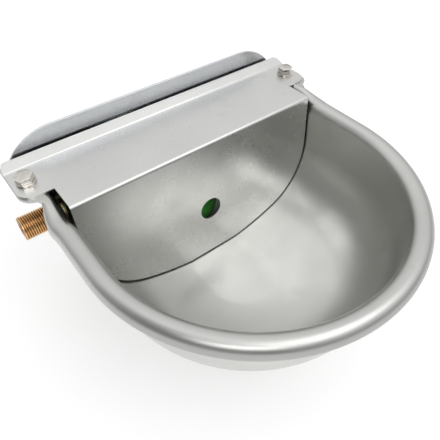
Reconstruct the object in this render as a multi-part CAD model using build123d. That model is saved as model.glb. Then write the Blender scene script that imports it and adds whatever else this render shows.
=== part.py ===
from build123d import *
import math
import os

# Wall-hung livestock drinking bowl with a float valve, in millimetres.
# Origin: on the wall side of the mounting plate, midway between its two bolt holes.
# +X is to the right as the animal sees the bowl, +Y goes into the wall, +Z is up.

# ---------------------------------------------------------------- bowl pressing
bowl_half_width = 126.6        # inside, across the parallel side walls
nose_setback = 135.0           # wall face to the axis of the round front
bowl_sheet = 1.2
ear_top = 20.5                 # flat ears above the wall bolts
bowl_depth = 126.0             # ears to the inside of the floor
straight_wall = 47.0           # ears to where the wall starts to curve in
wall_curve_radius = 70.0       # curve between the front or side wall and the floor
back_curve_radius = 35.0       # the same behind the float
wall_curve_turn = 70.0         # degrees turned before the dished floor begins
floor_half_width = 30.0        # flat pad that the bowl stands on
rear_corner_radius = 25.0      # upright corners beside the back wall
rear_corner_growth = 0.35      # how fast those corners widen towards the floor

# rolled rim
rim_drop = 3.7                 # rim's crown below the ears
roll_radius = 8.6
roll_turn = 225.0              # degrees of curl, from the inner wall round and under
roll_leg = 2.0                 # straight run that joins the curl to the wall
neck_roll_radius = 6.0         # smaller curl where the rim meets the ears
roll_taper_start = 76.0        # distances from the wall face
roll_taper_end = 60.0

# flat ears that carry the cover
ear_overhang = 24.4            # beyond the inside of the side walls
ear_front = 56.0               # front edge of the ears, from the wall face
ear_corner_radius = 13.0
neck_overhang = 12.9           # the same where an ear runs into the rolled rim
neck_fillet = 3.0

# ---------------------------------------------------------------- cover
cover_sheet = 1.5
cover_ear_setback = 0.5        # cover's ears inside the bowl's ears
cover_back = 15.0              # rear bend line, from the wall face
cover_length = 63.8            # rear bend line to front bend line
cover_side_gap = 1.8           # between the apron's edge and the bowl
cover_ear_front = 51.8         # front edge of the cover's ears, from the wall face
cover_ear_radius = 12.0
front_bend_radius = 3.0
rear_bend_radius = 4.0
lip_length = 10.9
lip_angle = 45.0
lip_corner_radius = 6.5
apron_tilt = 5.5               # degrees from upright
water_hole_diameter = 23.0
water_hole_drop = 72.0         # front bend to the hole's centre, along the apron

# cover fasteners (M8)
bolt_edge_distance = 12.0      # bolt's centre to the ear's outer edge
bolt_y = -31.0
bolt_diameter = 8.0
bolt_length = 16.0
bolt_head_across = 13.0
bolt_head_height = 5.3
bolt_hole_diameter = 9.0
washer_diameter = 16.4
washer_thickness = 1.6
nut_height = 6.5
left_head_turn = -10.0         # how each head came to rest when tightened, degrees
right_head_turn = 31.0

# ---------------------------------------------------------------- mounting plate
plate_sheet = 2.0
plate_top = 43.3
plate_corner_radius = 51.0
plate_wing_drop = 5.0          # wings reach this far below the ears
plate_foot_half_width = 100.0
plate_foot_margin = 1.0        # foot ends this far above where the back wall stops being flat
plate_small_radius = 10.0
wall_bolt_spacing = 160.0
wall_hole_diameter = 9.0

# ---------------------------------------------------------------- float valve
inlet_y = -45.0
inlet_z = -9.0
thread_diameter = 20.955       # half-inch pipe thread, drawn plain where it stands free
thread_pitch_diameter = 19.793  # and at this diameter inside the locknut
thread_run_out = 0.6           # from the locknut's face to the full thread
thread_chamfer = 1.2
tail_length = 30.2             # outer wall face to the tail's end
tail_bore = 10.0
inlet_hole_clearance = 0.12    # radial
gasket_thickness = 2.0
gasket_diameter = 27.0
backing_washer_thickness = 1.5
locknut_across = 27.0
locknut_height = 5.5
shoulder_thickness = 4.0
barrel_diameter = 20.0
barrel_bore = 13.0
throat_length = 2.0            # shoulder to the nozzle's seat
nozzle_length = 7.0
nozzle_lip = 1.5
nozzle_lip_diameter = 6.0
nozzle_orifice = 3.5

piston_length = 16.0
piston_clearance = 0.08        # radial running fit in the barrel
seat_diameter = 10.0
seat_thickness = 3.0
seat_proud = 1.0               # rubber standing out of the piston
closed_gap = 0.1               # left between rubber and nozzle at the upper stop
cap_gap = 0.3                  # piston to cap when fully open
cap_plug_length = 4.0
cap_head_across = 17.0
cap_head_height = 4.0

pivot_drop = 15.0              # pivot below the barrel's axis
fork_gap = 7.0
fork_cheek = 3.5
fork_radius = 5.0
pivot_diameter = 4.0
pivot_clearance = 0.05         # radial running fit in the lever
pivot_head_diameter = 7.0
pivot_head_height = 1.5
pivot_tail = 3.6
split_pin_diameter = 1.3
split_pin_length = 9.0

lever_play = 0.3               # each side, in the fork
lever_boss_radius = 4.5
cam_arm = 11.5                 # pivot to the cam tip that works the piston
cam_tip_radius = 3.0
cam_play = 0.2                 # each side, in the piston's slot
cam_neck_width = 4.6
lever_bar_height = 6.0
socket_start = 22.0            # distances along the arm from the pivot
socket_end = 36.0
socket_diameter = 10.0
rod_diameter = 6.0
rod_engagement = 12.0
rod_nut_across = 10.0
rod_nut_height = 5.0
float_start = 48.0
float_length = 76.0
float_diameter = 50.0
float_seam_height = 0.8
float_seam_width = 2.2
insert_diameter = 10.0
insert_proud = 2.5
insert_depth = 11.0
droop_at_rest = 27.0           # degrees the arm hangs below level
arm_swing = 30.0               # degrees of travel up to shut-off

# ---------------------------------------------------------------- derived places
ear_half_width = bowl_half_width + ear_overhang
neck_half_width = bowl_half_width + neck_overhang
cover_half_width = ear_half_width - cover_ear_setback
plate_half_width = ear_half_width
bolt_x = ear_half_width - bolt_edge_distance
back_face = -plate_sheet                       # wall side of the bowl's back wall
back_inside = back_face - bowl_sheet
nose_y = -nose_setback
ear_under = ear_top - bowl_sheet
rim_crown = ear_top - rim_drop
leg_foot = rim_crown - roll_radius - roll_leg
curve_top = ear_top - straight_wall
plate_foot = curve_top + plate_foot_margin
floor_inside = ear_top - bowl_depth
cover_top = ear_top + cover_sheet

wall_inside_x = -bowl_half_width
wall_outside_x = wall_inside_x - bowl_sheet
tail_end_x = wall_outside_x - tail_length
locknut_x = wall_outside_x - backing_washer_thickness - locknut_height
full_thread_x = locknut_x - thread_run_out
shoulder_x = wall_inside_x + gasket_thickness
barrel_start_x = shoulder_x + shoulder_thickness
nozzle_x = barrel_start_x + throat_length
lip_x = nozzle_x + nozzle_length + nozzle_lip
half_swing = math.radians(arm_swing / 2)
piston_travel = 2 * cam_arm * math.sin(half_swing)
piston_open_x = lip_x + closed_gap + seat_proud + piston_travel
pivot_x = piston_open_x + piston_length / 2 - piston_travel / 2
pivot_z = inlet_z - pivot_drop
cap_x = piston_open_x + piston_length + cap_gap
barrel_end_x = cap_x + cap_plug_length
lever_thickness = fork_gap - 2 * lever_play
cam_angle = droop_at_rest - arm_swing / 2      # short arm leans back from square


# ---------------------------------------------------------------- helpers
def disc_along_x(x_from, x_to, radius):
    """Cylinder on the valve's axis."""
    start = Plane(origin=(x_from, inlet_y, inlet_z), x_dir=(0, 1, 0), z_dir=(1, 0, 0))
    return extrude(start * Circle(radius), x_to - x_from)


def upright(x, y, z_from, z_to, radius):
    """Vertical cylinder."""
    return extrude(Plane.XY.offset(z_from) * Pos(x, y) * Circle(radius), z_to - z_from)


def hex_prism(across_flats, height, chamfer_sides=1):
    """Hexagon standing on XY with its corners chamfered on one or both ends."""
    corner = across_flats / math.sqrt(3)
    prism = extrude(RegularPolygon(across_flats / 2, 6, major_radius=False), height)
    bevel = 0.45 * (corner - across_flats / 2)
    turned = Pos(0, 0, height / 2) * Cylinder(corner, height)
    edges = turned.edges().filter_by(GeomType.CIRCLE).sort_by(Axis.Z)
    chosen = edges[-1:] if chamfer_sides == 1 else [edges[0], edges[-1]]
    return prism & chamfer(chosen, bevel, 2 * bevel)


def on_axis_x(shape, x):
    """Turn a shape that stands on XY so that it points along +X from x on the valve's axis."""
    return Pos(x, inlet_y, inlet_z) * Rot(0, 90, 0) * shape


def both_sides(shape):
    return [shape, mirror(shape, about=Plane.YZ)]


# ---------------------------------------------------------------- bowl
def bowl_outline(half_width, back_y, corner_radius):
    """Plan of the bowl at one height: round front, parallel sides, rounded rear corners."""
    front = ThreePointArc((-half_width, nose_y), (0, nose_y - half_width), (half_width, nose_y))
    sides = Polyline((half_width, nose_y), (half_width, back_y), (-half_width, back_y), (-half_width, nose_y))
    plan = make_face([front, *sides.edges()])
    rear = plan.vertices().sort_by(Axis.Y)[-2:]
    return fillet(rear, min(corner_radius, 0.8 * half_width))


def wall_stations(outward):
    """Levels below the straight wall: inset at front and sides, inset at the back, height."""
    turn = math.radians(wall_curve_turn)
    back_curve_top = curve_top - (wall_curve_radius - back_curve_radius) * math.sin(turn)
    radius = wall_curve_radius + outward
    back_radius = back_curve_radius + outward
    levels = []
    arc_steps = 5
    for step in range(arc_steps + 1):
        angle = turn * step / arc_steps
        height = curve_top - radius * math.sin(angle)
        back_sine = max(0, back_curve_top - height) / back_radius
        back_inset = back_curve_radius - back_radius * math.sqrt(1 - back_sine ** 2)
        levels.append((wall_curve_radius - radius * math.cos(angle), back_inset, height))
    dish_inset = wall_curve_radius * (1 - math.cos(turn))
    dish_back_inset = back_curve_radius * (1 - math.cos(turn))
    dish_top = curve_top - wall_curve_radius * math.sin(turn)
    run = bowl_half_width - floor_half_width - dish_inset
    slope_from = 1 / math.tan(turn)
    slope_to = 2 * (dish_top - floor_inside) / run - slope_from
    dish_steps = 3
    for step in range(1, dish_steps + 1):
        along = run * step / dish_steps
        slope = slope_from + (slope_to - slope_from) * step / dish_steps
        height = dish_top - (slope_from + slope) / 2 * along
        normal = math.atan2(1, slope)
        shift = along - outward * math.cos(normal)
        drop = outward if step == dish_steps else outward * math.sin(normal)
        levels.append((dish_inset + shift, dish_back_inset + shift, height - drop))
    return levels


def bowl_form(outward):
    """Solid bounded by the bowl's inner surface moved outward (or inward when negative)."""
    top = ear_top + 30
    corner = rear_corner_radius + outward
    plan = bowl_outline(bowl_half_width + outward, back_inside + outward, corner)
    upper = extrude(Plane.XY.offset(curve_top) * plan, top - curve_top)
    sections = []
    for inset, back_inset, height in wall_stations(outward):
        half_width = bowl_half_width - inset
        widened = corner + rear_corner_growth * (inset + outward)
        sections.append(Plane.XY.offset(height) * bowl_outline(half_width, back_inside - back_inset, widened))
    return upper + loft(sections)


def rim_section(radius, crown_z):
    """Curled sheet: x outward from the inner wall line, y up."""
    centre_z = crown_z - radius
    inner_radius = radius - bowl_sheet
    turn = math.radians(180 - roll_turn)
    outer_end = (radius + radius * math.cos(turn), centre_z + radius * math.sin(turn))
    inner_end = (radius + inner_radius * math.cos(turn), centre_z + inner_radius * math.sin(turn))
    curl = ThreePointArc((0, centre_z), (radius, crown_z), outer_end)
    back = ThreePointArc((bowl_sheet, centre_z), (radius, crown_z - bowl_sheet), inner_end)
    leg = Polyline((0, centre_z), (0, leg_foot), (bowl_sheet, leg_foot), (bowl_sheet, centre_z))
    return make_face([curl, back, *leg.edges(), Line(outer_end, inner_end)])


def rim_plane(y):
    """Places a rim section on the right-hand wall at distance y."""
    return Plane(origin=(bowl_half_width, y, 0), x_dir=(1, 0, 0), z_dir=(0, -1, 0))


def make_rim():
    """Rolled rim: half a turn round the front, straight sides, rising and tapering to the ears."""
    full = rim_section(roll_radius, rim_crown)
    small = rim_section(neck_roll_radius, ear_top)
    nose = revolve(rim_plane(nose_y) * full, Axis((0, nose_y, 0), (0, 0, -1)), 180)
    straight = extrude(rim_plane(-roll_taper_start) * full, nose_setback - roll_taper_start)
    taper = loft([rim_plane(-roll_taper_start) * full, rim_plane(-roll_taper_end) * small], ruled=True)
    return [nose, *both_sides(straight), *both_sides(taper)]


def make_ears(cavity):
    """Flat flange round the rear corners, with the necks that run into the rolled rim."""
    depth = ear_front + back_face
    broad = Pos(0, back_face - depth / 2) * Rectangle(2 * ear_half_width, depth)
    broad = fillet(broad.vertices().sort_by(Axis.Y)[:2], ear_corner_radius)
    neck_depth = roll_taper_end + back_face
    outline = broad + Pos(0, back_face - neck_depth / 2) * Rectangle(2 * neck_half_width, neck_depth)
    inner_corners = outline.vertices().filter_by(
        lambda v: abs(abs(v.X) - neck_half_width) < 0.01 and v.Y > 1 - roll_taper_end)
    outline = fillet(inner_corners, neck_fillet)
    flange = extrude(Plane.XY.offset(ear_under) * outline, bowl_sheet)
    return flange - cavity


def make_bowl():
    cavity = bowl_form(0)
    below_curl = Pos(0, 0, leg_foot - 500) * Box(1000, 1000, 1000)
    behind_necks = Pos(0, back_face - roll_taper_end / 2 + back_face / 2, ear_top - 250) * Box(
        600, roll_taper_end + back_face, 500)
    shell = bowl_form(bowl_sheet) & (below_curl + behind_necks)
    bowl = shell + make_ears(cavity)
    for piece in make_rim():
        bowl += piece
    bowl -= cavity
    hole_radius = thread_diameter / 2 + inlet_hole_clearance
    bowl -= disc_along_x(wall_outside_x - 5, wall_inside_x + 5, hole_radius)
    bowl -= wall_bolt_holes()
    for side in (-1, 1):
        bowl -= upright(side * bolt_x, bolt_y, ear_under - 1, ear_top + 1, bolt_hole_diameter / 2)
    return bowl


# ---------------------------------------------------------------- mounting plate
def wall_bolt_holes():
    """Two holes through the back wall and the plate, on the line through the origin."""
    drill = Rot(90, 0, 0) * Cylinder(wall_hole_diameter / 2, 40)
    return [Pos(side * wall_bolt_spacing / 2, 0, 0) * drill for side in (-1, 1)]


def make_mounting_plate():
    """Upstand with large top corners, and a narrower foot against the bowl's back wall."""
    wing_foot = ear_under - plate_wing_drop
    upstand = Pos(0, plate_top - plate_half_width) * RectangleRounded(
        2 * plate_half_width, 2 * plate_half_width, plate_corner_radius)
    upstand &= Pos(0, (plate_top + wing_foot) / 2) * Rectangle(4 * plate_half_width, plate_top - wing_foot)
    foot_height = wing_foot - plate_foot
    foot = Pos(0, plate_foot + foot_height / 2) * Rectangle(2 * plate_foot_half_width, foot_height)
    foot = fillet(foot.vertices().sort_by(Axis.Y)[:2], plate_small_radius)
    outline = upstand + foot
    corners = outline.vertices().filter_by(
        lambda v: abs(abs(v.X) - plate_foot_half_width) < 0.01 and abs(v.Y - wing_foot) < 0.01)
    outline = fillet(corners, plate_small_radius)
    return extrude(Plane.XZ * outline, plate_sheet) - wall_bolt_holes()


# ---------------------------------------------------------------- cover
def cover_strip():
    """Side view of the folded sheet, from the raised rear lip to the foot of the apron."""
    lean = math.radians(apron_tilt)
    rise = math.radians(lip_angle)
    rear_bend = (-cover_back, cover_top)
    front_bend = (-cover_back - cover_length, cover_top)
    lip_edge = (rear_bend[0] + lip_length * math.cos(rise), cover_top + lip_length * math.sin(rise))
    reach = bowl_depth + cover_sheet
    foot = (front_bend[0] - reach * math.tan(lean), cover_top - reach)
    line = FilletPolyline(lip_edge, rear_bend, front_bend, foot, radius=(rear_bend_radius, front_bend_radius))
    side_view = make_face(offset(line, cover_sheet, side=Side.LEFT).edges())
    return extrude(Plane.YZ * side_view, cover_half_width, both=True)


def cover_plan():
    """Outline seen from above: broad ears at the back, narrower tongue over the bowl."""
    tongue_half_width = bowl_half_width - cover_side_gap
    tongue_front = cover_back + cover_length + 30
    tongue = Pos(0, -tongue_front / 2) * Rectangle(2 * tongue_half_width, tongue_front)
    ears = Pos(0, -cover_ear_front / 2) * Rectangle(2 * cover_half_width, cover_ear_front)
    ears = fillet(ears.vertices().sort_by(Axis.Y)[:2], cover_ear_radius)
    return tongue + ears


def make_cover():
    """One folded sheet: lip, top with ears, and an apron cut to the bowl's section."""
    apron_space = bowl_form(-cover_side_gap)
    above_ears = extrude(Plane.XY.offset(ear_top) * cover_plan(), 40)
    lip_top = cover_top + lip_length * math.sin(math.radians(lip_angle))
    end_view = Pos(0, lip_top - 250) * Rectangle(2 * cover_half_width, 500)
    end_view = fillet(end_view.vertices().sort_by(Axis.Y)[-2:], lip_corner_radius)
    rounded_ends = extrude(Plane.XZ * end_view, 300)
    cover = cover_strip() & (apron_space + above_ears) & rounded_ends
    hole_axis = Plane(
        origin=(0, -cover_back - cover_length, cover_top),
        x_dir=(1, 0, 0),
        z_dir=(0, -math.cos(math.radians(apron_tilt)), math.sin(math.radians(apron_tilt))))
    cover -= extrude(hole_axis * Pos(0, -water_hole_drop) * Circle(water_hole_diameter / 2), 10, both=True)
    for side in (-1, 1):
        cover -= upright(side * bolt_x, bolt_y, ear_top - 1, cover_top + 1, bolt_hole_diameter / 2)
    return cover


def make_cover_bolt(x, head_turn):
    """Hex bolt, its head seated on the washer."""
    seat = cover_top + washer_thickness
    head = Pos(x, bolt_y, seat) * Rot(0, 0, head_turn) * hex_prism(bolt_head_across, bolt_head_height)
    return head + upright(x, bolt_y, seat - bolt_length, seat, bolt_diameter / 2)


def make_cover_washer():
    ring = upright(bolt_x, bolt_y, cover_top, cover_top + washer_thickness, washer_diameter / 2)
    return ring - upright(bolt_x, bolt_y, cover_top - 1, cover_top + 5, bolt_hole_diameter / 2)


def make_weld_nut():
    nut = Pos(bolt_x, bolt_y, ear_under - nut_height) * hex_prism(bolt_head_across, nut_height, 2)
    return nut - upright(bolt_x, bolt_y, ear_under - nut_height - 1, ear_under + 1, bolt_diameter / 2)


# ---------------------------------------------------------------- valve body and its seal
def make_valve_body():
    """Brass body: threaded tail, shoulder, barrel with a slot below, and the pivot's fork."""
    tail = disc_along_x(tail_end_x, full_thread_x, thread_diameter / 2)
    tail = chamfer(tail.edges().filter_by(GeomType.CIRCLE).sort_by(Axis.X)[0], thread_chamfer)
    tail += disc_along_x(full_thread_x, shoulder_x, thread_pitch_diameter / 2)
    shoulder = disc_along_x(shoulder_x, barrel_start_x, gasket_diameter / 2)
    shoulder = fillet(shoulder.edges().filter_by(GeomType.CIRCLE).sort_by(Axis.X)[-1], 1.0)
    barrel = disc_along_x(shoulder_x, barrel_end_x, barrel_diameter / 2)
    fork_width = fork_gap + 2 * fork_cheek
    cheek_view = Pos(0, pivot_drop / 2) * Rectangle(2 * fork_radius, pivot_drop) + Circle(fork_radius)
    pivot_plane = Plane(origin=(pivot_x, inlet_y, pivot_z), x_dir=(1, 0, 0), z_dir=(0, -1, 0))
    fork = extrude(pivot_plane * cheek_view, fork_width / 2, both=True)
    body = tail + shoulder + barrel + fork
    body -= disc_along_x(tail_end_x - 1, nozzle_x, tail_bore / 2)
    body -= disc_along_x(nozzle_x, barrel_end_x + 1, barrel_bore / 2)
    slot_half_length = lever_boss_radius + 2.5
    body -= Pos(pivot_x, inlet_y, inlet_z - 25) * Box(2 * slot_half_length, fork_gap, 50)
    body -= extrude(pivot_plane * Circle(pivot_diameter / 2), fork_width, both=True)
    return body


def make_inlet_gasket():
    ring = disc_along_x(wall_inside_x, shoulder_x, gasket_diameter / 2)
    return ring - disc_along_x(wall_inside_x - 1, shoulder_x + 1, thread_diameter / 2)


def make_backing_washer():
    outer_x = wall_outside_x - backing_washer_thickness
    ring = disc_along_x(outer_x, wall_outside_x, gasket_diameter / 2)
    return ring - disc_along_x(outer_x - 1, wall_outside_x + 1, thread_diameter / 2)


def make_inlet_locknut():
    nut = on_axis_x(hex_prism(locknut_across, locknut_height, 2), locknut_x)
    return nut - disc_along_x(locknut_x - 1, wall_outside_x, thread_pitch_diameter / 2)


def make_valve_nozzle():
    """Seat insert pushed down the barrel, with a raised lip round its orifice."""
    flange_end = nozzle_x + nozzle_length
    nozzle = disc_along_x(nozzle_x, flange_end, barrel_bore / 2)
    nozzle += disc_along_x(flange_end, lip_x, nozzle_lip_diameter / 2)
    return nozzle - disc_along_x(nozzle_x - 1, lip_x + 1, nozzle_orifice / 2)


def make_barrel_cap():
    plug = disc_along_x(cap_x, barrel_end_x, barrel_bore / 2)
    return plug + on_axis_x(hex_prism(cap_head_across, cap_head_height), barrel_end_x)


# ---------------------------------------------------------------- piston
def make_piston():
    """Slides in the barrel; the lever's cam works in its slot."""
    radius = barrel_bore / 2 - piston_clearance
    end_x = piston_open_x + piston_length
    piston = disc_along_x(piston_open_x, end_x, radius)
    piston = chamfer(piston.edges().filter_by(GeomType.CIRCLE).sort_by(Axis.X)[-1], 0.8)
    pocket_depth = seat_thickness - seat_proud
    piston -= disc_along_x(piston_open_x - 1, piston_open_x + pocket_depth, seat_diameter / 2)
    slot_width = 2 * (cam_tip_radius + cam_play)
    slot_top = cam_arm - pivot_drop + cam_tip_radius + 1.5
    slot_x = piston_open_x + piston_length / 2
    piston -= Pos(slot_x, inlet_y, inlet_z + slot_top - 10) * Box(slot_width, fork_gap, 20)
    return piston


def make_piston_seat():
    start = piston_open_x - seat_proud
    return disc_along_x(start, start + seat_thickness, seat_diameter / 2)


# ---------------------------------------------------------------- float arm
def hang(shape):
    """Carries a shape drawn with the arm level along +X from the pivot to its rest place."""
    return Pos(pivot_x, inlet_y, pivot_z) * Rot(0, droop_at_rest, 0) * shape


def rod_disc(start, end, radius):
    """Cylinder along the level arm, at distances from the pivot."""
    return extrude(Plane.YZ.offset(start) * Circle(radius), end - start)


def make_lever():
    """Pivot boss, short cam arm that leans back from square, and a socket for the rod."""
    bar = Pos(socket_start / 2, 0) * Rectangle(socket_start, lever_bar_height)
    cam = Pos(0, cam_arm / 2) * Rectangle(cam_neck_width, cam_arm) + Pos(0, cam_arm) * Circle(cam_tip_radius)
    face = Circle(lever_boss_radius) + bar + Rot(0, 0, cam_angle) * cam
    lever = extrude(Plane.XZ * face, lever_thickness / 2, both=True)
    socket = rod_disc(socket_start, socket_end, socket_diameter / 2)
    socket = fillet(socket.edges().filter_by(GeomType.CIRCLE), 0.8)
    lever += socket
    lever -= rod_disc(socket_end - rod_engagement, socket_end + 1, rod_diameter / 2)
    pivot_hole = Rot(90, 0, 0) * Cylinder(pivot_diameter / 2 + pivot_clearance, 2 * fork_gap)
    return hang(lever - pivot_hole)


def make_rod_locknut():
    nut = Pos(socket_end, 0, 0) * Rot(0, 90, 0) * hex_prism(rod_nut_across, rod_nut_height, 2)
    return hang(nut - rod_disc(socket_end - 1, socket_end + rod_nut_height + 1, rod_diameter / 2))


def make_float_rod():
    return hang(rod_disc(socket_end - rod_engagement, float_start + insert_depth - 2, rod_diameter / 2))


def make_float_insert():
    """Threaded bush moulded into the float's near end."""
    bush = rod_disc(float_start - insert_proud, float_start + insert_depth, insert_diameter / 2)
    return hang(bush - rod_disc(float_start - insert_proud - 1, float_start + insert_depth - 2, rod_diameter / 2))


def make_float():
    """Two round-ended halves joined at a raised seam."""
    radius = float_diameter / 2
    middle = float_start + float_length / 2
    body = rod_disc(float_start, float_start + float_length, radius)
    body = fillet(body.edges().filter_by(GeomType.CIRCLE), radius - 1.0)
    seam = rod_disc(middle - float_seam_width / 2, middle + float_seam_width / 2, radius + float_seam_height)
    body += fillet(seam.edges().filter_by(GeomType.CIRCLE), 0.35)
    return hang(body - rod_disc(float_start - 1, float_start + insert_depth, insert_diameter / 2))


# ---------------------------------------------------------------- pivot
def make_pivot_pin():
    """Headed pin through the fork, cross-drilled behind for its split pin."""
    half_width = fork_gap / 2 + fork_cheek
    pin = Pos(pivot_x, inlet_y - half_width, pivot_z) * Rot(-90, 0, 0)
    shank = Pos(0, 0, half_width + pivot_tail / 2) * Cylinder(pivot_diameter / 2, 2 * half_width + pivot_tail)
    head = Pos(0, 0, -pivot_head_height / 2) * Cylinder(pivot_head_diameter / 2, pivot_head_height)
    cross = Pos(0, 0, split_pin_station()) * Rot(90, 0, 0) * Cylinder(split_pin_diameter / 2, 20)
    return pin * (shank + head - cross)


def split_pin_station():
    """Distance from the pin's head face to its cross hole."""
    return fork_gap + 2 * fork_cheek + split_pin_diameter / 2 + 0.4


def make_split_pin():
    """Doubled wire with a round eye, pushed up through the pivot pin."""
    radius = split_pin_diameter / 2
    y = inlet_y - fork_gap / 2 - fork_cheek + split_pin_station()
    stem = Pos(pivot_x, y, pivot_z) * Cylinder(radius, split_pin_length)
    eye_radius = 1.5
    eye_z = pivot_z - split_pin_length / 2 - eye_radius + radius / 2
    eye = Pos(pivot_x, y, eye_z) * Rot(90, 0, 0) * Torus(eye_radius, radius)
    return stem + eye


# ---------------------------------------------------------------- all pieces
def main():
    pieces = {
        "bowl": make_bowl(),
        "mounting_plate": make_mounting_plate(),
        "cover": make_cover(),
        "cover_bolts": Compound([
            make_cover_bolt(-bolt_x, left_head_turn), make_cover_bolt(bolt_x, right_head_turn)]),
        "cover_washers": Compound(both_sides(make_cover_washer())),
        "weld_nuts": Compound(both_sides(make_weld_nut())),
        "valve_body": make_valve_body(),
        "inlet_gasket": make_inlet_gasket(),
        "backing_washer": make_backing_washer(),
        "inlet_locknut": make_inlet_locknut(),
        "valve_nozzle": make_valve_nozzle(),
        "barrel_cap": make_barrel_cap(),
        "piston": make_piston(),
        "piston_seat": make_piston_seat(),
        "lever": make_lever(),
        "pivot_pin": make_pivot_pin(),
        "split_pin": make_split_pin(),
        "float_rod": make_float_rod(),
        "rod_locknut": make_rod_locknut(),
        "float_insert": make_float_insert(),
        "float": make_float(),
    }
    os.makedirs("parts", exist_ok=True)
    for name, shape in pieces.items():
        export_step(shape, f"parts/{name}.step")


main()
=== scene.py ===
import math

import bmesh
import bpy
from mathutils import Matrix, Vector


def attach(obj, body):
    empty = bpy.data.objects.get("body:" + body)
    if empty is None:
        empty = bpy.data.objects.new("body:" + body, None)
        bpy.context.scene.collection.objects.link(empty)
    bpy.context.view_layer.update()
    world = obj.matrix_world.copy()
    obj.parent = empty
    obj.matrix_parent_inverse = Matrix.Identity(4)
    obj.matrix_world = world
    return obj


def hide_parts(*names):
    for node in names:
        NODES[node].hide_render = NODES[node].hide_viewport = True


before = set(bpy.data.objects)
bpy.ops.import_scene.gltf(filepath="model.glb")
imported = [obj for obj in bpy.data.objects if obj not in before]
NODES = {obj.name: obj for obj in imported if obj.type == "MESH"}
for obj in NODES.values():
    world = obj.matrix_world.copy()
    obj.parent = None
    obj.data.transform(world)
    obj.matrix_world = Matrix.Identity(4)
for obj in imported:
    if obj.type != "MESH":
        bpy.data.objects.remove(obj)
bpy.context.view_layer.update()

MM = 0.001

# inlet tail, in millimetres
INLET_Y = -45.0
INLET_Z = -9.0
TAIL_END = -158.0
TAIL_FOOT = -134.5
BORE = 5.0
PITCH = 1.814
CREST = 10.45
ROOT = 9.3
CORE = 9.0
TURN_STEPS = 60

# merging distances and tolerances, in metres
MIRROR_MERGE = 0.00002
SKIN_MERGE = 0.00005
NODE_MERGE = 0.000005
THREAD_MERGE = 0.000004


# ---------------------------------------------------------------- materials
# noise scales are per metre, heights in metres
CLOUD_SCALE = 14
STAIN_SCALE = 26
STAIN_RANGE = (0.62, 0.8)
STAIN_SHARE = 0.6
STAIN_SHADE = 0.8
SMEAR_SCALE = 40
BRUSH_SCALE = 420
BRUSH_DEPTH = 0.005
WAVE_SCALE = 9
WAVE_HEIGHT = 0.0006
TOOL_MARK_SCALE = 500
TOOL_MARK_STRETCH = (8, 1, 1)
TOOL_MARK_DEPTH = 0.00002

SHEET_ROUGHNESS = (0.24, 0.32)
PLATE_ROUGHNESS = (0.22, 0.30)
BOWL_ROUGHNESS = (0.30, 0.38)
BRASS_ROUGHNESS = (0.22, 0.38)
THREAD_ROUGHNESS = (0.18, 0.30)


def new_material(name):
    material = bpy.data.materials.new(name)
    material.use_nodes = True
    tree = material.node_tree
    shader = tree.nodes["Principled BSDF"]
    return material, tree, shader


def grain(tree, scale, stretch=(1, 1, 1), detail=2.0):
    """Noise on the piece's own coordinates, stretched along its grain."""
    coordinates = tree.nodes.new("ShaderNodeTexCoord")
    mapping = tree.nodes.new("ShaderNodeMapping")
    mapping.inputs["Scale"].default_value = stretch
    noise = tree.nodes.new("ShaderNodeTexNoise")
    noise.inputs["Scale"].default_value = scale
    noise.inputs["Detail"].default_value = detail
    tree.links.new(coordinates.outputs["Object"], mapping.inputs["Vector"])
    tree.links.new(mapping.outputs["Vector"], noise.inputs["Vector"])
    return noise.outputs["Fac"]


def remap(tree, value, low, high, from_low=0.3, from_high=0.7):
    node = tree.nodes.new("ShaderNodeMapRange")
    node.inputs["From Min"].default_value = from_low
    node.inputs["From Max"].default_value = from_high
    node.inputs["To Min"].default_value = low
    node.inputs["To Max"].default_value = high
    tree.links.new(value, node.inputs["Value"])
    return node.outputs["Result"]


def blend(tree, factor, first, second):
    """Mix of two colours, each given as red, green and blue or as another node's output."""
    node = tree.nodes.new("ShaderNodeMix")
    node.data_type = "RGBA"
    for name, colour in (("A", first), ("B", second)):
        if isinstance(colour, tuple):
            node.inputs[name].default_value = (*colour, 1)
        else:
            tree.links.new(colour, node.inputs[name])
    tree.links.new(factor, node.inputs["Factor"])
    return node.outputs["Result"]


def combine(tree, operation, first, second):
    """Math on an output and either a number or another output."""
    node = tree.nodes.new("ShaderNodeMath")
    node.operation = operation
    tree.links.new(first, node.inputs[0])
    if isinstance(second, float):
        node.inputs[1].default_value = second
    else:
        tree.links.new(second, node.inputs[1])
    return node.outputs[0]


def combine_vectors(tree, operation, first, second=None, output="Vector"):
    node = tree.nodes.new("ShaderNodeVectorMath")
    node.operation = operation
    tree.links.new(first, node.inputs[0])
    if second:
        node.inputs[1].default_value = second
    return node.outputs[output]


def bump(tree, height, distance):
    node = tree.nodes.new("ShaderNodeBump")
    node.inputs["Distance"].default_value = distance
    tree.links.new(height, node.inputs["Height"])
    return node.outputs["Normal"]


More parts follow.
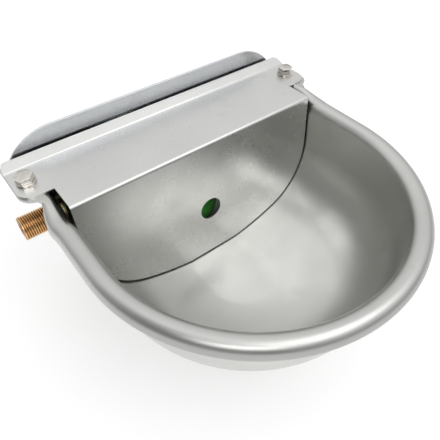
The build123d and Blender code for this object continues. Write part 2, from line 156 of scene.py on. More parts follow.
def satin_steel(name, dark, light, roughness, brush_stretch, shaded_flank=None):
    """Stainless sheet: brushing, clouds, a few stains, slight waves, and, when given a darker colour for it,
    painted shade on the rolled rim's outer side.
    """
    material, tree, shader = new_material(name)
    shader.inputs["Metallic"].default_value = 1.0
    clouds = remap(tree, grain(tree, CLOUD_SCALE, detail=4), 0, 1)
    stains = remap(tree, grain(tree, STAIN_SCALE, detail=6), 0, STAIN_SHARE, *STAIN_RANGE)
    stained = tuple(level * STAIN_SHADE for level in dark)
    colour = blend(tree, stains, blend(tree, clouds, dark, light), stained)
    # painted shade: the darker colour is blended in as far as the skin's rolled attribute says
    if shaded_flank:
        rolled = tree.nodes.new("ShaderNodeAttribute")
        rolled.attribute_name = "rolled"
        colour = blend(tree, rolled.outputs["Fac"], colour, shaded_flank)
    smears = remap(tree, grain(tree, SMEAR_SCALE, detail=3), *roughness)
    brushing = remap(tree, grain(tree, BRUSH_SCALE, brush_stretch, detail=3), -BRUSH_DEPTH, BRUSH_DEPTH)
    tree.links.new(colour, shader.inputs["Base Color"])
    tree.links.new(combine(tree, "ADD", smears, brushing), shader.inputs["Roughness"])
    tree.links.new(bump(tree, grain(tree, WAVE_SCALE, detail=1), WAVE_HEIGHT), shader.inputs["Normal"])
    return material


def brass_material(name, dark, light):
    """Turned brass: darker where it has tarnished, with fine tool marks round the axis."""
    material, tree, shader = new_material(name)
    shader.inputs["Metallic"].default_value = 1.0
    patches = remap(tree, grain(tree, 160, detail=4), 0, 1)
    marks = grain(tree, TOOL_MARK_SCALE, TOOL_MARK_STRETCH)
    tree.links.new(blend(tree, patches, dark, light), shader.inputs["Base Color"])
    tree.links.new(remap(tree, marks, *BRASS_ROUGHNESS), shader.inputs["Roughness"])
    tree.links.new(bump(tree, marks, TOOL_MARK_DEPTH), shader.inputs["Normal"])
    return material


def thread_brass():
    """Cut thread with painted light: pale gold crests as painted highlight down to coppery roots as painted
    shade, by distance from the tail's axis.
    """
    material, tree, shader = new_material("cut_brass_painted_light")
    shader.inputs["Metallic"].default_value = 1.0
    coordinates = tree.nodes.new("ShaderNodeTexCoord")
    off_axis = tree.nodes.new("ShaderNodeMapping")
    off_axis.inputs["Location"].default_value = (0, -INLET_Y * MM, -INLET_Z * MM)
    off_axis.inputs["Scale"].default_value = (0, 1, 1)
    tree.links.new(coordinates.outputs["Object"], off_axis.inputs["Vector"])
    radius = combine_vectors(tree, "LENGTH", off_axis.outputs["Vector"], output="Value")
    height = remap(tree, radius, 0, 1, (ROOT + 0.1) * MM, (CREST - 0.15) * MM)
    patches = remap(tree, grain(tree, 130, detail=3), 0, 1)
    marks = grain(tree, TOOL_MARK_SCALE, TOOL_MARK_STRETCH)
    # painted shade in the thread's roots and painted highlight on its crests
    shaded_root_brass = blend(tree, patches, (0.34, 0.15, 0.055), (0.48, 0.25, 0.10))
    highlit_crest_brass = blend(tree, patches, (0.86, 0.55, 0.25), (0.95, 0.72, 0.38))
    tree.links.new(blend(tree, height, shaded_root_brass, highlit_crest_brass), shader.inputs["Base Color"])
    tree.links.new(remap(tree, marks, *THREAD_ROUGHNESS), shader.inputs["Roughness"])
    return material


def plain_material(name, colour, roughness, metallic=0.0, mottling=0.15):
    material, tree, shader = new_material(name)
    shader.inputs["Metallic"].default_value = metallic
    darker = tuple(level * (1 - mottling) for level in colour)
    mottles = remap(tree, grain(tree, 120, detail=4), 0, 1)
    smears = remap(tree, grain(tree, 300), roughness * 0.85, roughness * 1.15)
    tree.links.new(blend(tree, mottles, darker, colour), shader.inputs["Base Color"])
    tree.links.new(smears, shader.inputs["Roughness"])
    return material


BRUSHED_ALONG = (0.03, 1, 1)
BRUSHED_LEVEL = (0.2, 0.2, 1)
STEEL_SHEET = satin_steel(
    "satin_sheet", (0.65, 0.65, 0.635), (0.71, 0.71, 0.695), SHEET_ROUGHNESS, BRUSHED_ALONG)
# the bowl's darker colour for the roll's outer side is painted shade
STEEL_BOWL = satin_steel(
    "satin_bowl", (0.62, 0.62, 0.60), (0.67, 0.67, 0.65), BOWL_ROUGHNESS, BRUSHED_LEVEL,
    shaded_flank=(0.42, 0.42, 0.41))
STEEL_PLATE = satin_steel(
    "satin_plate", (0.68, 0.70, 0.73), (0.74, 0.76, 0.79), PLATE_ROUGHNESS, BRUSHED_ALONG)
STEEL_BRIGHT = plain_material("bright_steel", (0.78, 0.75, 0.70), 0.13, metallic=1.0, mottling=0.3)
BRASS = brass_material("machined_brass", (0.22, 0.18, 0.10), (0.40, 0.33, 0.18))
BRASS_THREAD = thread_brass()
RUBBER = plain_material("rubber", (0.025, 0.025, 0.025), 0.7)
GREEN_PLASTIC = plain_material("float_green", (0.12, 0.60, 0.09), 0.4)


# ---------------------------------------------------------------- bowl
# in millimetres: x across, y from the wall (0) to the front, z up
HALF_WIDTH = 126.6
NOSE_Y = -135.0
BACK_Y = -3.2
SHEET = 1.2
EAR_TOP = 20.5
RIM_DROP = 3.7
CURVE_TOP = -26.5
FLOOR_Z = -105.5
CURVE_RADIUS = 70.0
BACK_CURVE_RADIUS = 35.0
CURVE_TURN = math.radians(70)
PAD_HALF_WIDTH = 30.0
CORNER_RADIUS = 25.0
CORNER_GROWTH = 0.35
CORNER_LIMIT = 0.8
ROLL_RADIUS = 8.6
NECK_ROLL_RADIUS = 4.8
NECK_FLARE = 3.2
NECK_OPEN_Y = -66.0
ROLL_TURN = math.radians(225)
ROLL_NARROWS = (-84.0, -54.0)
CROWN_RISES = (-80.0, -56.0)
FLARE_GROWS = (-96.0, -62.0)
FLARE_FADES = (-50.0, -32.0)
EAR_BEND_Y = -40.0
EAR_BACK_Y = -2.0
FLARE_FOOT_Z = 3.0

ARC_STEPS = 56
SIDE_STEPS = 12
NECK_STEPS = 48
CORNER_STEPS = 12
BACK_STEPS = 14
CURL_STEPS = 14
BEND_STEPS = 7
CURVE_STEPS = 16
DISH_STEPS = 10
EAR_LEAD_STEPS = 6
EAR_FILLET_STEPS = 8
EAR_CORNER_STEPS = 16
CORNER_FROM = ARC_STEPS + SIDE_STEPS + NECK_STEPS
NECK_START_Y = -84.0


def side_fractions():
    """Shares of the straight side, closer together beside the ears."""
    length = BACK_Y - CORNER_RADIUS - NOSE_Y
    neck = (NECK_START_Y - NOSE_Y) / length
    front = [neck * step / SIDE_STEPS for step in range(1, SIDE_STEPS + 1)]
    return front + [neck + (1 - neck) * step / NECK_STEPS for step in range(1, NECK_STEPS + 1)]


def half_outline(half_width, back_y, corner):
    """Right-hand half of the plan at one level, from the nose to the middle of the back."""
    points = []
    for step in range(ARC_STEPS + 1):
        angle = -math.pi / 2 + math.pi / 2 * step / ARC_STEPS
        points.append((half_width * math.cos(angle), NOSE_Y + half_width * math.sin(angle)))
    side_end = back_y - corner
    points += [(half_width, NOSE_Y + (side_end - NOSE_Y) * share) for share in side_fractions()]
    for step in range(1, CORNER_STEPS + 1):
        angle = math.pi / 2 * step / CORNER_STEPS
        points.append((half_width - corner + corner * math.cos(angle), side_end + corner * math.sin(angle)))
    points += [((half_width - corner) * (1 - step / BACK_STEPS), back_y) for step in range(1, BACK_STEPS + 1)]
    return points


def level_points(side_inset, back_inset, height):
    """The plan's half outline at one height, drawn in from the sides and the back."""
    corner = min(CORNER_RADIUS + CORNER_GROWTH * side_inset, CORNER_LIMIT * (HALF_WIDTH - side_inset))
    return [(x, y, height) for x, y in half_outline(HALF_WIDTH - side_inset, BACK_Y - back_inset, corner)]


def below_wall_levels():
    """Levels from the top of the curve down to the edge of the standing pad."""
    levels = []
    back_top = CURVE_TOP - (CURVE_RADIUS - BACK_CURVE_RADIUS) * math.sin(CURVE_TURN)
    for step in range(CURVE_STEPS + 1):
        angle = CURVE_TURN * step / CURVE_STEPS
        height = CURVE_TOP - CURVE_RADIUS * math.sin(angle)
        sine = max(0, back_top - height) / BACK_CURVE_RADIUS
        back_inset = BACK_CURVE_RADIUS * (1 - math.sqrt(1 - sine ** 2))
        levels.append((CURVE_RADIUS * (1 - math.cos(angle)), back_inset, height))
    inset, back_inset, top = levels[-1]
    run = HALF_WIDTH - PAD_HALF_WIDTH - inset
    slope_from = 1 / math.tan(CURVE_TURN)
    slope_to = 2 * (top - FLOOR_Z) / run - slope_from
    for step in range(1, DISH_STEPS + 1):
        along = run * step / DISH_STEPS
        slope = slope_from + (slope_to - slope_from) * step / DISH_STEPS
        levels.append((inset + along, back_inset + along, top - (slope_from + slope) / 2 * along))
    return levels


def ear_outline():
    """Outer edge of the right ear as (x, y) points: straight lead, hollow fillet, then the front corner."""
    neck_x, outer_x, front_y, corner, fillet = 139.5, 151.0, -56.0, 13.0, 3.0
    centre = (outer_x - corner, front_y + corner)
    reach = math.sqrt((corner + fillet) ** 2 - (neck_x + fillet - centre[0]) ** 2)
    hollow = (neck_x + fillet, centre[1] - reach)
    meet = math.atan2(centre[1] - hollow[1], centre[0] - hollow[0])
    points = [(neck_x, hollow[1] - EAR_LEAD_STEPS + step) for step in range(EAR_LEAD_STEPS)]
    for step in range(EAR_FILLET_STEPS + 1):
        angle = math.pi + (meet - math.pi) * step / EAR_FILLET_STEPS
        points.append((hollow[0] + fillet * math.cos(angle), hollow[1] + fillet * math.sin(angle)))
    for step in range(1, EAR_CORNER_STEPS + 1):
        angle = meet - math.pi + (math.pi - meet) * step / EAR_CORNER_STEPS
        points.append((centre[0] + corner * math.cos(angle), centre[1] + corner * math.sin(angle)))
    return points


def polyline_at(points, share):
    """Point a given share of the way along a polyline."""
    lengths = [math.dist(a, b) for a, b in zip(points, points[1:])]
    target = share * sum(lengths)
    for (a, b), length in zip(zip(points, points[1:]), lengths):
        if target <= length or b == points[-1]:
            t = min(1, target / length) if length else 0
            return (a[0] + (b[0] - a[0]) * t, a[1] + (b[1] - a[1]) * t)
        target -= length


def ear_targets():
    """For each point of the top outline, where the flange's edge lies, or None along the rolled rim."""
    outline = half_outline(HALF_WIDTH, BACK_Y, CORNER_RADIUS)
    edge = ear_outline()
    neck_y = edge[0][1]
    outer_x, edge_end_y = edge[-1]
    side_end_y = outline[CORNER_FROM][1]
    back_end_x = outline[CORNER_FROM + CORNER_STEPS][0]
    half_corner = CORNER_STEPS // 2
    targets = []
    for index, (x, y) in enumerate(outline):
        if index <= ARC_STEPS or (index <= CORNER_FROM and y < neck_y):
            targets.append(None)
        elif index <= CORNER_FROM and y <= EAR_BEND_Y:
            targets.append(polyline_at(edge, (y - neck_y) / (EAR_BEND_Y - neck_y)))
        elif index <= CORNER_FROM:
            along = (y - EAR_BEND_Y) / (side_end_y - EAR_BEND_Y)
            targets.append((outer_x, edge_end_y + along * (side_end_y - edge_end_y)))
        elif index <= CORNER_FROM + half_corner:
            along = (index - CORNER_FROM) / half_corner
            targets.append((outer_x, side_end_y + along * (EAR_BACK_Y - side_end_y)))
        elif index <= CORNER_FROM + CORNER_STEPS:
            along = (index - CORNER_FROM - half_corner) / half_corner
            targets.append((
                outer_x + along * (back_end_x - outer_x), EAR_BACK_Y + along * (BACK_Y - EAR_BACK_Y)))
        else:
            targets.append((x, y))
    return outline, targets


def smooth_share(value, low, high):
    """Share of the way from low to high, easing in and out."""
    t = max(0.0, min(1.0, (value - low) / (high - low)))
    return t * t * (3 - 2 * t)


def rim_radius(index, y):
    """Bend radius at the top of the wall: the full curl, smaller at the ears, nothing along the back."""
    if index <= ARC_STEPS:
        return ROLL_RADIUS
    if index <= CORNER_FROM:
        return ROLL_RADIUS + (NECK_ROLL_RADIUS - ROLL_RADIUS) * smooth_share(y, *ROLL_NARROWS)
    return NECK_ROLL_RADIUS * (1 - smooth_share(index, CORNER_FROM, CORNER_FROM + CORNER_STEPS))


def flare(index, y):
    """How far the top of the side wall leans outward beside the cover."""
    if index <= ARC_STEPS:
        return 0.0
    return NECK_FLARE * smooth_share(y, *FLARE_GROWS) * (1 - smooth_share(y, *FLARE_FADES))


def crown_height(index, y):
    """The rim's crown lies below the flat ears and rises to them through the neck."""
    if index <= ARC_STEPS:
        return EAR_TOP - RIM_DROP
    return EAR_TOP - RIM_DROP * (1 - smooth_share(y, *CROWN_RISES))


def rim_levels():
    """Rings from the tucked edge of the rolled rim, over its crown, to the inner wall."""
    outline, targets = ear_targets()
    edge = ear_outline()
    neck_x = edge[0][0]
    neck_end = edge[EAR_LEAD_STEPS - 1][1]
    bases = []
    for index, (x, y) in enumerate(outline):
        if index <= ARC_STEPS:
            angle = -math.pi / 2 + math.pi / 2 * index / ARC_STEPS
            outward = Vector((math.cos(angle), math.sin(angle), 0))
        else:
            target = targets[index] or (x + 1, y)
            outward = Vector((target[0] - x, target[1] - y, 0))
            outward = outward.normalized() if outward.length > 0.01 else Vector((0, 1, 0))
        bases.append((Vector((x + flare(index, y), y, 0)), outward))
    rings = []
    for step in range(CURL_STEPS + 1):
        share = 1 - step / CURL_STEPS
        ring = []
        for index, ((start, outward), target) in enumerate(zip(bases, targets)):
            radius = rim_radius(index, start.y)
            angle = math.pi / 2 - (ROLL_TURN - math.pi / 2) * share
            crown = start + outward * radius
            rolled = crown + outward * radius * math.cos(angle)
            rolled.z = crown_height(index, start.y) - radius + radius * math.sin(angle)
            opened = smooth_share(start.y, NECK_OPEN_Y, neck_end + 1) if index > ARC_STEPS else 0.0
            end = Vector((*target, 0)) if target else Vector((neck_x, start.y, 0))
            flat = crown.lerp(end, share)
            flat.z = EAR_TOP
            ring.append(rolled.lerp(flat, opened))
        rings.append(ring)
    for step in range(1, BEND_STEPS + 1):
        angle = math.pi / 2 + math.pi / 2 * step / BEND_STEPS
        ring = []
        for index, (start, outward) in enumerate(bases):
            radius = rim_radius(index, start.y)
            point = start + outward * radius * (1 + math.cos(angle))
            point.z = crown_height(index, start.y) - radius + radius * math.sin(angle)
            ring.append(point)
        rings.append(ring)
    return rings


# painted shade: a share of it lies over the whole curl and fades over the crown, and the outer side round the
# front gets all of it
CROWN_PAINTED_SHADE = 0.35
CROWN_FADE_STEPS = 4
FLANK_TURN = (-62, -38)
FLANK_REACH = (120, 185)
WALL_SHARES = (0.05, 0.1, 0.16, 0.22, 0.3, 0.45, 0.65, 0.82)
PAD_SHRINKS = (0.7, 0.4, 0.12)


def painted_shade_share(level, y):
    """Share of painted shade on the skin: most on the roll's outer side round the front, fading over its
    crown.
    """
    if level > CURL_STEPS:
        return CROWN_PAINTED_SHADE * max(0.0, 1 - (level - CURL_STEPS) / CROWN_FADE_STEPS)
    drop = (math.degrees(ROLL_TURN) - 90) * (1 - level / CURL_STEPS) - 90
    shaded_flank = smooth_share(drop, *FLANK_TURN) * smooth_share(-y, *FLANK_REACH)
    return CROWN_PAINTED_SHADE + (1 - CROWN_PAINTED_SHADE) * shaded_flank


def bowl_rings():
    """Rings of points round the inner skin's right half, from the roll's tucked edge to the pad's middle."""
    rings = rim_levels()
    roll_foot = [point.z for point in rings[-1]]
    outline = half_outline(HALF_WIDTH, BACK_Y, CORNER_RADIUS)
    for share in WALL_SHARES:
        ring = []
        for index, ((x, y), foot) in enumerate(zip(outline, roll_foot)):
            height = foot + (CURVE_TOP - foot) * share
            ring.append(Vector((x + flare(index, y) * smooth_share(height, FLARE_FOOT_Z, foot), y, height)))
        rings.append(ring)
    for side_inset, back_inset, height in below_wall_levels():
        rings.append([Vector(p) for p in level_points(side_inset, back_inset, height)])
    pad_edge = rings[-1]
    pad_centre_y = (NOSE_Y - PAD_HALF_WIDTH + pad_edge[-1].y) / 2
    for shrink in PAD_SHRINKS:
        rings.append([
            Vector((point.x * shrink, pad_centre_y + (point.y - pad_centre_y) * shrink, FLOOR_Z))
            for point in pad_edge])
    return rings


def build_bowl():
    """The bowl's inner skin: each ring extruded from the last, the half mirrored, and the pad closed."""
    rings = bowl_rings()
    bm = bmesh.new()
    # the rolled attribute holds each point's share of painted shade
    rolled = bm.verts.layers.float.new("rolled")
    verts = [bm.verts.new(point * MM) for point in rings[0]]
    for vert in verts:
        vert[rolled] = painted_shade_share(0, vert.co.y / MM)
    edges = [bm.edges.new(pair) for pair in zip(verts, verts[1:])]
    for level, ring in enumerate(rings[1:], 1):
        made = bmesh.ops.extrude_edge_only(bm, edges=edges)["geom"]
        edges = [part for part in made if isinstance(part, bmesh.types.BMEdge)]
        fresh = {part for part in made if isinstance(part, bmesh.types.BMVert)}
        verts = [
            next(edge.other_vert(old) for edge in old.link_edges if edge.other_vert(old) in fresh)
            for old in verts]
        for vert, point in zip(verts, ring):
            vert.co = point * MM
            vert[rolled] = painted_shade_share(level, point.y)
    bmesh.ops.mirror(bm, geom=bm.verts[:] + bm.edges[:] + bm.faces[:], axis="X", merge_dist=MIRROR_MERGE)
    bmesh.ops.dissolve_degenerate(bm, edges=bm.edges, dist=SKIN_MERGE)
    bmesh.ops.remove_doubles(bm, verts=bm.verts, dist=SKIN_MERGE)
    open_edges = [
        edge for edge in bm.edges
        if edge.is_boundary and all(abs(vert.co.z - FLOOR_Z * MM) < 1e-6 for vert in edge.verts)]
    bmesh.ops.contextual_create(bm, geom=open_edges)
    bmesh.ops.recalc_face_normals(bm, faces=bm.faces)
    pad = min(bm.faces, key=lambda face: face.calc_center_median().z)
    if pad.normal.z < 0:
        bmesh.ops.reverse_faces(bm, faces=bm.faces)
    return bm


def mesh_object(name, bm, material):
    mesh = bpy.data.meshes.new(name)
    bm.to_mesh(mesh)
    bm.free()
    mesh.shade_smooth()
    piece = bpy.data.objects.new(name, mesh)
    bpy.context.scene.collection.objects.link(piece)
    mesh.materials.append(material)
    return piece


def hole_punch(name, place, radius, length, turn):
    """Round cutter lying across a sheet."""
    bm = bmesh.new()
    bmesh.ops.create_cone(
        bm, cap_ends=True, segments=64, radius1=radius * MM, radius2=radius * MM, depth=length * MM)
    bmesh.ops.rotate(bm, verts=bm.verts, matrix=turn)
    bmesh.ops.translate(bm, verts=bm.verts, vec=Vector(place) * MM)
    return mesh_object(name, bm, STEEL_BOWL)


def punch(piece, cutters):
    """Cut the holes for good and take the cutters away."""
    for cutter in cutters:
        hole = piece.modifiers.new(cutter.name, "BOOLEAN")
        hole.operation = "DIFFERENCE"
        hole.solver = "EXACT"
        hole.object = cutter
    bpy.context.view_layer.update()
    finished = piece.evaluated_get(bpy.context.evaluated_depsgraph_get())
    blank = piece.data
    piece.data = bpy.data.meshes.new_from_object(finished)
    piece.modifiers.clear()
    bpy.data.meshes.remove(blank)
    for cutter in cutters:
        bpy.data.meshes.remove(cutter.data)


ALONG_X = Matrix.Rotation(math.pi / 2, 3, "Y")
ALONG_Y = Matrix.Rotation(math.pi / 2, 3, "X")
UPRIGHT = Matrix.Identity(3)
EAR_HOLES = ((-139, -31), (139, -31))
WALL_HOLES = (-80, 80)
BOLT_HOLE_RADIUS = 4.5
INLET_HOLE_RADIUS = 10.6
INLET_PUNCH = 12
BOLT_PUNCH = 8
SKIN_CREASE = math.radians(35)


def make_bowl():
    """The pressing: its skin given the sheet's thickness outward, and its five holes cut."""
    bowl = mesh_object("bowl_pressing", build_bowl(), STEEL_BOWL)
    wall = bowl.modifiers.new("sheet", "SOLIDIFY")
    wall.thickness = SHEET * MM
    wall.offset = -1
    inlet_centre = (-HALF_WIDTH, INLET_Y, INLET_Z)
    cutters = [hole_punch("inlet_hole", inlet_centre, INLET_HOLE_RADIUS, INLET_PUNCH, ALONG_X)]
    cutters += [
        hole_punch("ear_hole", (x, y, EAR_TOP), BOLT_HOLE_RADIUS, BOLT_PUNCH, UPRIGHT)
        for x, y in EAR_HOLES]
    cutters += [
        hole_punch("wall_hole", (x, BACK_Y, 0), BOLT_HOLE_RADIUS, BOLT_PUNCH, ALONG_Y)
        for x in WALL_HOLES]
    punch(bowl, cutters)
    bowl.data.set_sharp_from_angle(angle=SKIN_CREASE)
    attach(bowl, "base")
    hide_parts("bowl")


# ---------------------------------------------------------------- pieces kept from their nodes
SMALL_EDGE = 0.0002
SHEET_EDGE = 0.0003
FLAT_ANGLE = math.radians(0.5)


def soften(piece, edge, angle=30):
    """Small rounded edges and a smooth finish between them."""
    if edge:
        bevel = piece.modifiers.new("edges", "BEVEL")
        bevel.width = edge
        bevel.segments = 2
        bevel.limit_method = "ANGLE"
        bevel.angle_limit = math.radians(angle)
    piece.data.set_sharp_from_angle(angle=math.radians(angle))


def dress(node, material, body, edge=SMALL_EDGE):
    """A merged copy of a node with softened edges and a smooth finish."""
    bm = bmesh.new()
    bm.from_mesh(NODES[node].data)
    bmesh.ops.remove_doubles(bm, verts=bm.verts, dist=NODE_MERGE)
    bmesh.ops.dissolve_limit(bm, angle_limit=FLAT_ANGLE, verts=bm.verts, edges=bm.edges)
    piece = mesh_object(node + "_finished", bm, material)
    soften(piece, edge)
    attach(piece, body)
    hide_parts(node)
    return piece


# ---------------------------------------------------------------- threaded inlet tail
INLET_AXIS = Vector((0, INLET_Y * MM, INLET_Z * MM))
NUT_INSIDE = TAIL_FOOT + 1.2
CORE_FOOT = TAIL_FOOT + 1.4
COLLAR_WIDTH = 1.9
THREAD_FLANK = (
    (0.0, ROOT), (0.13, ROOT + 0.02), (0.42, ROOT + 0.53), (0.68, CREST - 0.13), (0.79, CREST - 0.02))


def around_inlet(bm, points):
    """Spin a closed side profile, given as (x, radius), round the inlet's axis."""
    verts = [bm.verts.new((x * MM, INLET_Y * MM, (INLET_Z + radius) * MM)) for x, radius in points]
    edges = [bm.edges.new(pair) for pair in zip(verts, verts[1:] + verts[:1])]
    bmesh.ops.spin(
        bm, geom=verts + edges, cent=INLET_AXIS, axis=(1, 0, 0), angle=2 * math.pi, steps=TURN_STEPS,
        use_merge=True, use_duplicate=False)
    bmesh.ops.remove_doubles(bm, verts=bm.verts, dist=THREAD_MERGE)
    bmesh.ops.recalc_face_normals(bm, faces=bm.faces)


def thread_ridge(start, end):
    """Pipe thread as one sleeve: a single pitch screwed along the axis, trimmed square and closed inside."""
    bm = bmesh.new()
    far_flank = tuple((PITCH - x, radius) for x, radius in reversed(THREAD_FLANK))
    profile = THREAD_FLANK + ((PITCH / 2, CREST),) + far_flank
    turns = math.ceil((end - start) / PITCH) + 2
    first = start - 1.2 * PITCH
    verts = [bm.verts.new(((first + x) * MM, INLET_Y * MM, (INLET_Z + radius) * MM)) for x, radius in profile]
    edges = [bm.edges.new(pair) for pair in zip(verts, verts[1:])]
    bmesh.ops.spin(
        bm, geom=verts + edges, cent=INLET_AXIS, axis=(1, 0, 0), dvec=(PITCH * MM / TURN_STEPS, 0, 0),
        angle=2 * math.pi * turns, steps=TURN_STEPS * turns, use_merge=False, use_duplicate=False)
    bmesh.ops.remove_doubles(bm, verts=bm.verts, dist=THREAD_MERGE)
    for x, outward in ((start, -1), (end, 1)):
        bmesh.ops.bisect_plane(
            bm, geom=bm.verts[:] + bm.edges[:] + bm.faces[:],
            plane_co=(x * MM, 0, 0), plane_no=(outward, 0, 0),
            clear_outer=True)
        rim = [
            edge for edge in bm.edges
            if edge.is_boundary and all(abs(vert.co.x - x * MM) < 1e-7 for vert in edge.verts)]
        made = bmesh.ops.extrude_edge_only(bm, edges=rim)["geom"]
        for vert in [part for part in made if isinstance(part, bmesh.types.BMVert)]:
            middle = INLET_AXIS + Vector((vert.co.x, 0, 0))
            vert.co = middle + (vert.co - middle).normalized() * CORE * MM
    bmesh.ops.bridge_loops(bm, edges=[edge for edge in bm.edges if edge.is_boundary])
    bmesh.ops.recalc_face_normals(bm, faces=bm.faces)
    return bm


def tail_core():
    """Tube inside the thread, with the plain turned collar and its chamfer at the mouth."""
    bm = bmesh.new()
    mouth, collar, seat = TAIL_END, CREST - 0.36, ROOT - 0.15
    around_inlet(bm, (
        (CORE_FOOT, BORE), (mouth + 0.5, BORE), (mouth + 0.12, BORE + 0.3), (mouth, BORE + 0.5),
        (mouth, CREST - 1.35), (mouth + 0.08, CREST - 1.2), (mouth + 0.72, CREST - 0.42),
        (mouth + 0.86, collar), (mouth + 1.4, collar), (mouth + 1.52, CREST - 0.48), (mouth + 1.75, seat),
        (CORE_FOOT, seat)))
    return bm


def trimmed_valve_body():
    """The valve's body from inside its nut inwards; the tail outside the nut is its own piece."""
    bm = bmesh.new()
    bm.from_mesh(NODES["valve_body"].data)
    bmesh.ops.remove_doubles(bm, verts=bm.verts, dist=NODE_MERGE)
    bmesh.ops.bisect_plane(
        bm, geom=bm.verts[:] + bm.edges[:] + bm.faces[:], plane_co=(NUT_INSIDE * MM, 0, 0),
        plane_no=(-1, 0, 0), clear_outer=True)
    bmesh.ops.bridge_loops(bm, edges=[edge for edge in bm.edges if edge.is_boundary])
    bmesh.ops.recalc_face_normals(bm, faces=bm.faces)
    return bm


def make_inlet():
    sleeve = mesh_object("tail_thread", thread_ridge(TAIL_END + COLLAR_WIDTH, TAIL_FOOT), BRASS_THREAD)
    core = mesh_object("tail_core", tail_core(), BRASS_THREAD)
    body = mesh_object("valve_body_finished", trimmed_valve_body(), BRASS)
    soften(sleeve, 0, 50)
    soften(core, 0)
    soften(body, SMALL_EDGE)
    for piece in (sleeve, core, body):
        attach(piece, "base")
        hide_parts("valve_body")


# ---------------------------------------------------------------- float, lip and rubber
FLOAT_START = Vector((-55.4, -45.0, -46.1))
FLOAT_END = Vector((12.1, -45.0, -81.1))
FLOAT_REACH = 15.0
FLOAT_LIFT = math.radians(4.5)
FLOAT_RIB = 3.0
LIP_Y = -14.0
LIP_Z = 23.2
LIP_LEAN = math.radians(-18)
LIP_MARGIN = 2.0


def lengthen_float(piece):
    """Carry the float's free half on along its axis and let it droop a little less from its insert."""
    axis = (FLOAT_END - FLOAT_START).normalized()
    middle = (FLOAT_START + FLOAT_END) / 2 * MM
    bm = bmesh.new()
    bm.from_mesh(piece.data)
    free = [vert for vert in bm.verts if (vert.co - middle).dot(axis) > FLOAT_RIB * MM]
    bmesh.ops.translate(bm, verts=free, vec=axis * FLOAT_REACH * MM)
    bmesh.ops.rotate(bm, verts=bm.verts, cent=FLOAT_START * MM, matrix=Matrix.Rotation(-FLOAT_LIFT, 3, "Y"))
    bm.to_mesh(piece.data)
    bm.free()


def lean_lip(piece):
    """Lay the cover's raised rear lip further back towards the plate."""
    bm = bmesh.new()
    bm.from_mesh(piece.data)
    lip_foot = (LIP_Z - LIP_MARGIN) * MM
    lip = [vert for vert in bm.verts if vert.co.y > LIP_Y * MM - 1e-6 and vert.co.z > lip_foot]
    lean = Matrix.Rotation(LIP_LEAN, 3, "X")
    bmesh.ops.rotate(bm, verts=lip, cent=(0, LIP_Y * MM, LIP_Z * MM), matrix=lean)
    bm.to_mesh(piece.data)
    bm.free()


def paint(node, material):
    """Give a node that is kept as it is its material."""
    for entry in NODES[node].material_slots:
        entry.material = material


# ---------------------------------------------------------------- stage, light and camera
FLOOR_RADIUS = 6
FLOOR_GAP = 0.0002
FLOOR_LIFT = 0.5

# brightness at heights from straight below (0) over the horizon (0.5) to straight above (1)
OPEN_SIDE = ((0.0, 0.5), (0.5, 0.44), (0.6, 0.54), (0.72, 0.84), (0.85, 0.90), (1.0, 1.12))
DIM_SIDE = ((0.0, 0.5), (0.5, 0.42), (0.62, 0.36), (0.83, 0.26), (0.94, 0.50), (1.0, 1.1))
DIM_TOWARDS = (-0.906, -0.423, 0)
DIM_FROM, DIM_FULL = 0.25, 0.75

# name, place, width, height, brightness of the face
SOFTBOXES = (
    ("front_softbox", (0.37, -0.79, 1.34), 1.25, 1.0, 1.15),
    ("side_softbox", (-0.66, -0.90, 1.0), 0.85, 0.6, 2.2),
)

LENS = 36.36
CAMERA_PLACE = (-0.1823, -0.3256, 0.2549)
CAMERA_RIGHT = Vector((0.7857, -0.6185, 0.0116))
CAMERA_UP = Vector((0.4447, 0.5778, 0.6844))
CAMERA_BACK = Vector((-0.4300, -0.5326, 0.7290))


def make_floor():
    """Pale floor that stays white where nothing shades it and keeps the bowl's soft shadow."""
    bm = bmesh.new()
    bmesh.ops.create_circle(bm, cap_ends=True, segments=96, radius=FLOOR_RADIUS)
    bmesh.ops.translate(bm, verts=bm.verts, vec=(0, 0, (FLOOR_Z - SHEET) * MM - FLOOR_GAP))
    material, tree, shader = new_material("pale_floor")
    shader.inputs["Base Color"].default_value = (0.6, 0.6, 0.6, 1)
    shader.inputs["Roughness"].default_value = 0.9
    shader.inputs["Specular IOR Level"].default_value = 0.0
    shader.inputs["Emission Color"].default_value = (1, 1, 1, 1)
    path = tree.nodes.new("ShaderNodeLightPath")
    seen = path.outputs["Is Camera Ray"]
    for ray in ("Is Glossy Ray", "Is Transmission Ray"):
        seen = combine(tree, "MAXIMUM", seen, path.outputs[ray])
    tree.links.new(combine(tree, "MULTIPLY", seen, FLOOR_LIFT), shader.inputs["Emission Strength"])
    mesh_object("floor", bm, material)


def brightness_by_height(tree, height, stops_wanted):
    """Grey ramp from straight below to straight above."""
    ramp = tree.nodes.new("ShaderNodeValToRGB")
    stops = ramp.color_ramp.elements
    for index, (place, level) in enumerate(stops_wanted):
        stop = stops[index] if index < 2 else stops.new(place)
        stop.position = place
        stop.color = (level, level, level, 1)
    tree.links.new(height, ramp.inputs["Fac"])
    return ramp.outputs["Color"]


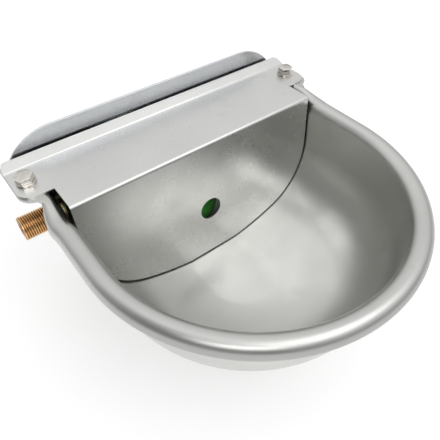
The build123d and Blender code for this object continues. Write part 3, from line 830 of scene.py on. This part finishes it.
def make_world():
    """Studio surround: pale overhead and to the right and back, dimmer low down on the left."""
    world = bpy.data.worlds.new("studio")
    world.use_nodes = True
    bpy.context.scene.world = world
    tree = world.node_tree
    direction = tree.nodes.new("ShaderNodeTexCoord").outputs["Generated"]
    parts = tree.nodes.new("ShaderNodeSeparateXYZ")
    tree.links.new(direction, parts.inputs[0])
    height = remap(tree, parts.outputs["Z"], 0, 1, -1, 1)
    compass = combine_vectors(tree, "NORMALIZE", combine_vectors(tree, "MULTIPLY", direction, (1, 1, 0)))
    towards = combine_vectors(tree, "DOT_PRODUCT", compass, DIM_TOWARDS, output="Value")
    share = remap(tree, towards, 0, 1, DIM_FROM, DIM_FULL)
    open_side = brightness_by_height(tree, height, OPEN_SIDE)
    dim_side = brightness_by_height(tree, height, DIM_SIDE)
    tree.links.new(blend(tree, share, open_side, dim_side), tree.nodes["Background"].inputs["Color"])


def softbox(name, place, width, height, level):
    """Area lamp aimed at the origin, whose face has the given brightness."""
    lamp = bpy.data.lights.new(name, "AREA")
    lamp.shape = "RECTANGLE"
    lamp.size = width
    lamp.size_y = height
    lamp.energy = level * width * height * math.pi
    holder = bpy.data.objects.new(name, lamp)
    bpy.context.scene.collection.objects.link(holder)
    turn = (-Vector(place)).to_track_quat("-Z", "Y").to_matrix().to_4x4()
    holder.matrix_world = Matrix.Translation(place) @ turn


def make_camera():
    camera = bpy.data.cameras.new("camera")
    camera.sensor_width = 36.0
    camera.lens = LENS
    camera.clip_start = 0.01
    holder = bpy.data.objects.new("camera", camera)
    bpy.context.scene.collection.objects.link(holder)
    turn = Matrix((CAMERA_RIGHT, CAMERA_UP, CAMERA_BACK)).transposed().to_4x4()
    holder.matrix_world = Matrix.Translation(CAMERA_PLACE) @ turn
    bpy.context.scene.camera = holder


bpy.context.scene.view_settings.view_transform = "Standard"
make_bowl()
lean_lip(dress("cover", STEEL_SHEET, "base", edge=SHEET_EDGE))
dress("mounting_plate", STEEL_PLATE, "base", edge=SHEET_EDGE)
for name in ("cover_bolts", "cover_washers", "weld_nuts", "backing_washer", "pivot_pin", "split_pin"):
    dress(name, STEEL_BRIGHT, "base")
make_inlet()
for name in ("inlet_locknut", "valve_nozzle", "barrel_cap"):
    dress(name, BRASS, "base")
for name in ("lever", "rod_locknut", "float_insert"):
    dress(name, BRASS, "float_arm")
dress("piston", BRASS, "piston")
dress("float_rod", STEEL_BRIGHT, "float_arm")
lengthen_float(dress("float", GREEN_PLASTIC, "float_arm", edge=0))
paint("inlet_gasket", RUBBER)
paint("piston_seat", RUBBER)
make_floor()
make_world()
for box in SOFTBOXES:
    softbox(*box)
make_camera()
